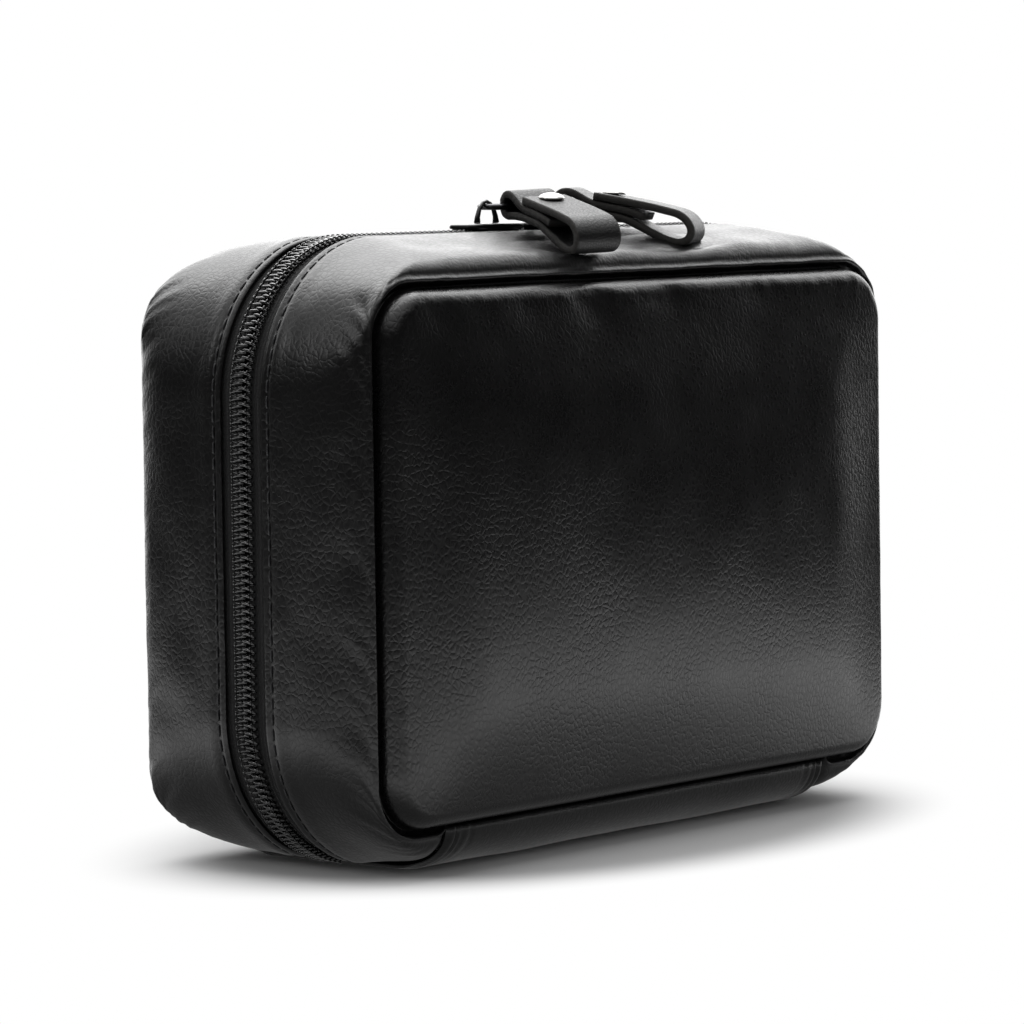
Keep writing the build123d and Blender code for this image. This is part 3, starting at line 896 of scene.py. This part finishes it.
def slider_plate(name, at, facing, low, profile):
    """A plate that widens towards its mouth, with rounded corners, rims and a slight crown."""
    rows = []
    for inset, rise in profile + ((profile[-1][0] + 0.15, profile[-1][1]),):
        length = SLIDER_LENGTH - 2 * inset
        edge = outline(length, 2 * (MOUTH_HALF - inset), 2.2 * (1 - inset / 5), 0)[0][:-1:4]
        rows.append([spot(at + x, y * slider_half_width(x, facing) / MOUTH_HALF, low + rise)
                     for x, y, nx, ny in edge])
    plate = skin(name, rows, wrap_points=True)
    close_ends(plate)
    return plate


for name, facing in (("left", 1), ("right", -1)):
    at = SLIDER_PLACES[name]
    parts = [slider_plate("plate", at, facing, PLATE_LOW, PLATE_PROFILE),
             slider_plate("sole", at, facing, SOLE_LOW, SOLE_PROFILE)]
    arch = [spot(at + facing * BRIDGE_AT + x, 0, z) for x, z in BRIDGE_PATH]
    parts.append(bent_tube("bridge", arch, [size * mm for size in BRIDGE_SIZES], 10))
    for rim in (-1, 1):
        edge = [spot(at + x, rim * (slider_half_width(x, facing) - 0.45), PLATE_LOW - 0.1)
                for x in (-7.5, -4, 0, 4, 7.5)]
        parts.append(bent_tube("flange", edge, 0.42 * mm, 8))
    neck = [spot(at + facing * NECK_AT, 0, z) for z in NECK_HEIGHTS]
    parts.append(bent_tube("neck", neck, 0.4 * mm, 8))
    body = joined(f"{name}_slider_lacquered", parts)
    body.data.materials.append(LACQUER)
    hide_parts(f"{name}_slider_body")
    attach(body, f"{name}_slider")
    dress(f"{name}_pull_ring", BLACK_NICKEL)


# Strap pulls: one strip of 2 mm leather each, with raw fibrous edges. It starts on top, runs out to a round
# loop, comes back below, folds round the ring's bar and ends inside the loop. One rivet holds the layers.
# Each pull has a turn, a tilt, its middle beside the ring, a roll and the sag at its far end.
STRAP_WIDTH = 12.5
STRAP_LEATHER = 2.0
RING_HEIGHT = 156
RING_HALF_WIDTH = 4.2
PULLS = (("left", -20, 8, 9.75, 2, 2.6), ("right", 24, 3.5, 12, 0, 4.6))
SAG_LENGTH = 33
STRAP_ROUTE = ((7.6, 3.15), (12, 3.15), (17, 3.2), (22, 3.25), (26, 3.2), (29.4, 3.05), (31.6, 2.1),
               (32.9, 0.4), (32.9, -1.4), (31.8, -3.0), (29.6, -4.0), (26.5, -3.9), (23, -3.1), (19.5, -2.1),
               (16.5, -1.3), (14.5, -1.07), (11, -1.05), (8, -1.07), (4.5, -1.35), (2, -1.75), (0.3, -1.98),
               (-1.4, -1.45), (-2.1, 0.1), (-1.9, 1.9), (-0.6, 3.1), (1.4, 3.3), (3.6, 2.6), (5.8, 1.65),
               (8.2, 1.12), (11, 1.05), (14.8, 1.03), (17.8, 0.8), (20.5, 0.35))
ROUTE_STEPS = 6
ACROSS = (-1, -0.985, -0.94, -0.8, -0.55, -0.25, 0, 0.25, 0.55, 0.8, 0.94, 0.985, 1)


def through(points, steps):
    """A smooth line that runs through every one of the points in a plane."""
    line = []
    for index in range(len(points) - 1):
        a = points[max(index - 1, 0)]
        b, c = points[index], points[index + 1]
        d = points[min(index + 2, len(points) - 1)]
        for step in range(steps):
            t = step / steps
            line.append(tuple(
                0.5 * (2 * b[k] + (c[k] - a[k]) * t + (2 * a[k] - 5 * b[k] + 4 * c[k] - d[k]) * t * t
                       + (3 * b[k] - a[k] - 3 * c[k] + d[k]) * t ** 3) for k in (0, 1)))
    return line + [points[-1]]


def make_raw_edge():
    """Cut leather edge: unfinished fibres dyed through to a dusty black, quite matt."""
    material, shader, place = start_material("raw_leather_edge", Roughness=0.85)
    fibres = add_node(material, "TexNoise", Vector=place, Scale=1 / (0.35 * mm), Detail=5, Roughness=0.7)
    tint = add_node(material, "Mix", {"data_type": "RGBA"}, in0=fibres, in6="#121212", in7="#403e3b")
    return finish_material(material, shader, fibres, 1.0, 0.4, Base_Color=tint)


# Smooth-finished side leather: closer grain than the case, scuffed and semi-matt
STRAP_SKIN = make_pebbled_leather("smooth_strap_leather", pebble=0.8, relief=0.06, roughness=0.34,
                                  dullness=0.2)
RAW_EDGE = make_raw_edge()


def strap_frame(at, turn, tilt, middle, roll):
    """Origin on the ring's bar in line with the strap's middle, and the strap's own directions."""
    along = Vector((cos(radians(turn)), sin(radians(turn)), 0))
    level = Vector((sin(radians(turn)), -cos(radians(turn)), 0))
    out = level * cos(radians(tilt)) - Vector((0, 0, sin(radians(tilt))))
    origin = Vector((at, 0, RING_HEIGHT)) + level * RING_HALF_WIDTH + along * middle
    up = out.cross(along)
    rolled = along * cos(radians(roll)) + up * sin(radians(roll))
    return origin, rolled, out, out.cross(rolled)


def sag_at(far, sag):
    """How far a strap has sunk under its own weight at a distance from the bar."""
    return sag * max(far / SAG_LENGTH, 0) ** 1.4


for name, turn, tilt, middle, roll, sag in PULLS:
    at = SLIDER_PLACES[name]
    origin, along, out, up = strap_frame(at, turn, tilt, middle, roll)
    line = [(far, high - sag_at(far, sag)) for far, high in through(STRAP_ROUTE, ROUTE_STEPS)]
    sections = []
    for index, (far, high) in enumerate(line):
        before, after = line[max(index - 1, 0)], line[min(index + 1, len(line) - 1)]
        ahead = Vector((after[0] - before[0], after[1] - before[1])).normalized()
        normal = Vector((-ahead.y, ahead.x))
        ring = []
        for face in (1, -1):
            for share in ACROSS if face > 0 else reversed(ACROSS):
                place = share * STRAP_WIDTH / 2
                rough = 0.16 * waver(far * 1.9, high * 1.9 + 7 * face, share + at)
                edge = smooth(abs(share), 0.93, 1)
                thick = face * (STRAP_LEATHER / 2 - 0.03 - 0.22 * edge)
                point = origin + (place + edge * rough * share) * along
                point += (far + normal.x * thick) * out + (high + normal.y * thick) * up
                ring.append(point * mm)
        sections.append(ring)
    strap = skin(f"{name}_strap_leather", sections, STRAP_SKIN, RAW_EDGE, wrap_points=True)
    close_ends(strap, 2 * len(ACROSS))
    for face in strap.data.polygons:
        centre = face.center / mm - origin
        cut_end = len(face.vertices) > 4
        face.material_index = 1 if cut_end or abs(centre.dot(along)) > 0.955 * STRAP_WIDTH / 2 else 0
    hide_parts(f"{name}_pull_strap")
    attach(strap, f"{name}_pull")


# Rivets: a two-part tubular rivet through the three layers of each strap, of brass under bright nickel, with
# a low domed cap on top and a flat washer below, pressed together.
BRIGHT_NICKEL = make_nickel("bright_nickel_cap", "#b4b3b1", 0.22)
RIVET_AT = 11.3
CAP_SEAT = 3.15 + STRAP_LEATHER / 2 + 0.03
WASHER_SEAT = -1.05 - STRAP_LEATHER / 2 - 0.03
CAP_PROFILE = ((0, 1.42), (0.8, 1.38), (1.6, 1.22), (2.3, 0.98), (2.8, 0.72), (3.1, 0.46), (3.2, 0.22),
               (3.12, 0.02), (1.4, 0.0))
WASHER_PROFILE = ((1.4, 0.0), (3.1, 0.0), (3.2, -0.2), (3.1, -0.6), (2.6, -0.78), (0, -0.8))
RIVET_SIDES = 40
for name, turn, tilt, middle, roll, sag in PULLS:
    origin, along, out, up = strap_frame(SLIDER_PLACES[name], turn, tilt, middle, roll)
    centre = origin + out * RIVET_AT - up * sag_at(RIVET_AT, sag)
    profile = [(radius, CAP_SEAT + rise) for radius, rise in CAP_PROFILE]
    profile += [(radius, WASHER_SEAT + rise) for radius, rise in WASHER_PROFILE]
    rows = []
    for radius, rise in profile:
        rows.append([(centre + up * rise + radius * (cos(2 * pi * spoke / RIVET_SIDES) * along
                                                     + sin(2 * pi * spoke / RIVET_SIDES) * out)) * mm
                     for spoke in range(RIVET_SIDES)])
    rivet = skin(f"{name}_rivet_nickel", rows, BRIGHT_NICKEL, wrap_points=True)
    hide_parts(f"{name}_pull_rivet")
    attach(rivet, f"{name}_pull")


# Stage: a white table that keeps the case's soft shadow and fades into a white backdrop. Away from the case
# it is plain white for the camera. What the leather mirrors of it is a painted glow, which falls off with
# distance and has painted shade close round the case.
TABLE_REACH = ((-0.5, -1.0), (1.0, -1.0), (1.0, 0.8), (-0.5, 0.8))
SHADOW_SCALE = (1 / 0.132, 1 / 0.086, 0)
TABLE_GLINT = 1.45


def make_table_white():
    """Matt white paper on the table, lit as far as the shadow reaches and plain white beyond; to mirrored rays
    it is a painted glow.
    """
    material, shader, place = start_material("white_table", Base_Color=(0.9, 0.9, 0.9, 1), Roughness=0.9,
                                             Specular_IOR_Level=0.1)
    glow = add_node(material, "Emission", Color=(1, 1, 1, 1))
    seen = add_node(material, "LightPath")
    squeezed = add_node(material, "Mapping", Vector=place, Scale=SHADOW_SCALE)
    away = add_node(material, "VectorMath", {"operation": "LENGTH"}, in0=squeezed)
    fade = add_node(material, "MapRange", {"interpolation_type": "SMOOTHSTEP"}, Value=away, From_Min=0.7,
                    From_Max=1.05, To_Min=0.0, To_Max=1.0)
    distance = add_node(material, "VectorMath", {"operation": "LENGTH"}, in0=place)
    # Painted glow: mirrored rays see the table glowing, fading out with distance from the case.
    painted_glow_falloff = add_node(material, "MapRange", {"interpolation_type": "SMOOTHSTEP"}, Value=distance,
                       From_Min=0.26, From_Max=0.52, To_Min=TABLE_GLINT, To_Max=0.01)
    # Painted shade: that glow is dimmed close round the case, where the case's shadow lies.
    painted_shade_near_case = add_node(material, "MapRange", {"interpolation_type": "SMOOTHSTEP"}, Value=away,
                        From_Min=0.9, From_Max=1.7, To_Min=0.15, To_Max=1.0)
    lit = add_node(material, "Math", {"operation": "MULTIPLY"}, in0=painted_glow_falloff, in1=painted_shade_near_case)
    shown = add_node(material, "Math", {"operation": "MULTIPLY"}, in0=seen.outputs["Is Camera Ray"],
                     in1=fade)
    share = add_node(material, "Math", {"operation": "MAXIMUM"}, in0=shown,
                     in1=seen.outputs["Is Glossy Ray"])
    strength = add_node(material, "Mix", {"data_type": "FLOAT"}, in0=seen.outputs["Is Glossy Ray"], in2=1.0,
                        in3=lit)
    fill_inputs(material, glow, {"Strength": strength})
    material.cycles.emission_sampling = "NONE"
    mixed = add_node(material, "MixShader", in0=share, in1=shader, in2=glow)
    fill_inputs(material, material.node_tree.nodes["Material Output"], {"Surface": mixed})
    return material


table_mesh = bpy.data.meshes.new("table")
table_mesh.from_pydata([(x, y, 0) for x, y in TABLE_REACH], [], [(0, 1, 2, 3)])
table = add_object("table", table_mesh)
table.data.materials.append(make_table_white())

# Studio: a white backdrop and ceiling that shine on the top of the walls, and a dark room in front of the
# panel. Lamps are sampled apart from this, so mirrored rays see the studio and plain ones an even light.
BACKDROP_WAY = Vector((0.65, 0.6, 0.45)).normalized()
ROOM_GLINT = 0.03
BACKDROP_GLINT = 3.0
CEILING_GLINT = 1.2
PLAIN_LIGHT = 0.28
world = bpy.data.worlds.new("studio")
bpy.context.scene.world = world
world.use_nodes = True
world.cycles.sampling_method = "NONE"
way = add_node(world, "TexCoord").outputs["Generated"]
towards = add_node(world, "VectorMath", {"operation": "DOT_PRODUCT"}, in0=way, in1=BACKDROP_WAY)
glint = add_node(world, "MapRange", {"interpolation_type": "SMOOTHSTEP"}, Value=towards, From_Min=0.4,
                 From_Max=0.95, To_Min=ROOM_GLINT, To_Max=BACKDROP_GLINT)
height = add_node(world, "SeparateXYZ", Vector=way)
ceiling = add_node(world, "MapRange", {"interpolation_type": "SMOOTHSTEP"}, Value=height.outputs["Z"],
                   From_Min=0.4, From_Max=0.95, To_Min=0, To_Max=CEILING_GLINT)
studio = add_node(world, "Math", {"operation": "MAXIMUM"}, in0=glint, in1=ceiling)
paths = add_node(world, "LightPath")
seen = add_node(world, "Math", {"operation": "MAXIMUM"}, in0=paths.outputs["Is Camera Ray"],
                in1=paths.outputs["Is Transmission Ray"])
lit = add_node(world, "Mix", {"data_type": "FLOAT"}, in0=paths.outputs["Is Glossy Ray"], in2=PLAIN_LIGHT,
               in3=studio)
level = add_node(world, "Mix", {"data_type": "FLOAT"}, in0=seen, in2=lit, in3=1.0)
fill_inputs(world, world.node_tree.nodes["Background"], {"Color": (1, 1, 1, 1), "Strength": level})


def add_softbox(name, place, target, width, height, power):
    """A rectangular area light that faces its target."""
    light = bpy.data.lights.new(name, "AREA")
    light.shape = "RECTANGLE"
    light.size = width
    light.size_y = height
    light.energy = power
    lamp = add_object(name, light)
    lamp.location = place
    lamp.rotation_euler = (Vector(target) - Vector(place)).to_track_quat("-Z", "Y").to_euler()


add_softbox("top_softbox", place=(0.2, 0.3, 1.2), target=(0, 0, 0.05), width=1.2, height=1.2, power=12)
add_softbox("left_softbox", place=(-1.1, 0.6, 0.9), target=(-0.1, 0, 0.08), width=0.25, height=0.5, power=1.5)

# Camera: fitted to the case's outline, the panel's corners and the zip line as the photograph shows them
camera_data = bpy.data.cameras.new("camera")
camera_data.sensor_width = 36
FOCAL_PIXELS = 5017.736
PICTURE_PIXELS = 1024
camera_data.lens = FOCAL_PIXELS * camera_data.sensor_width / PICTURE_PIXELS
camera_data.clip_end = 20
camera = add_object("camera", camera_data)
EYE = Vector((-0.976725, -0.785697, 0.172100))
AHEAD = Vector((0.77509653, 0.62753247, -0.07367749))
RIGHT = Vector((0.62836132, -0.7777914, -0.01423339))
UP = Vector((0.06623763, 0.03526383, 0.99718054))
camera.matrix_world = Matrix.Translation(EYE) @ Matrix((RIGHT, UP, -AHEAD)).transposed().to_4x4()
bpy.context.scene.camera = camera
bpy.context.scene.view_settings.view_transform = "Standard"
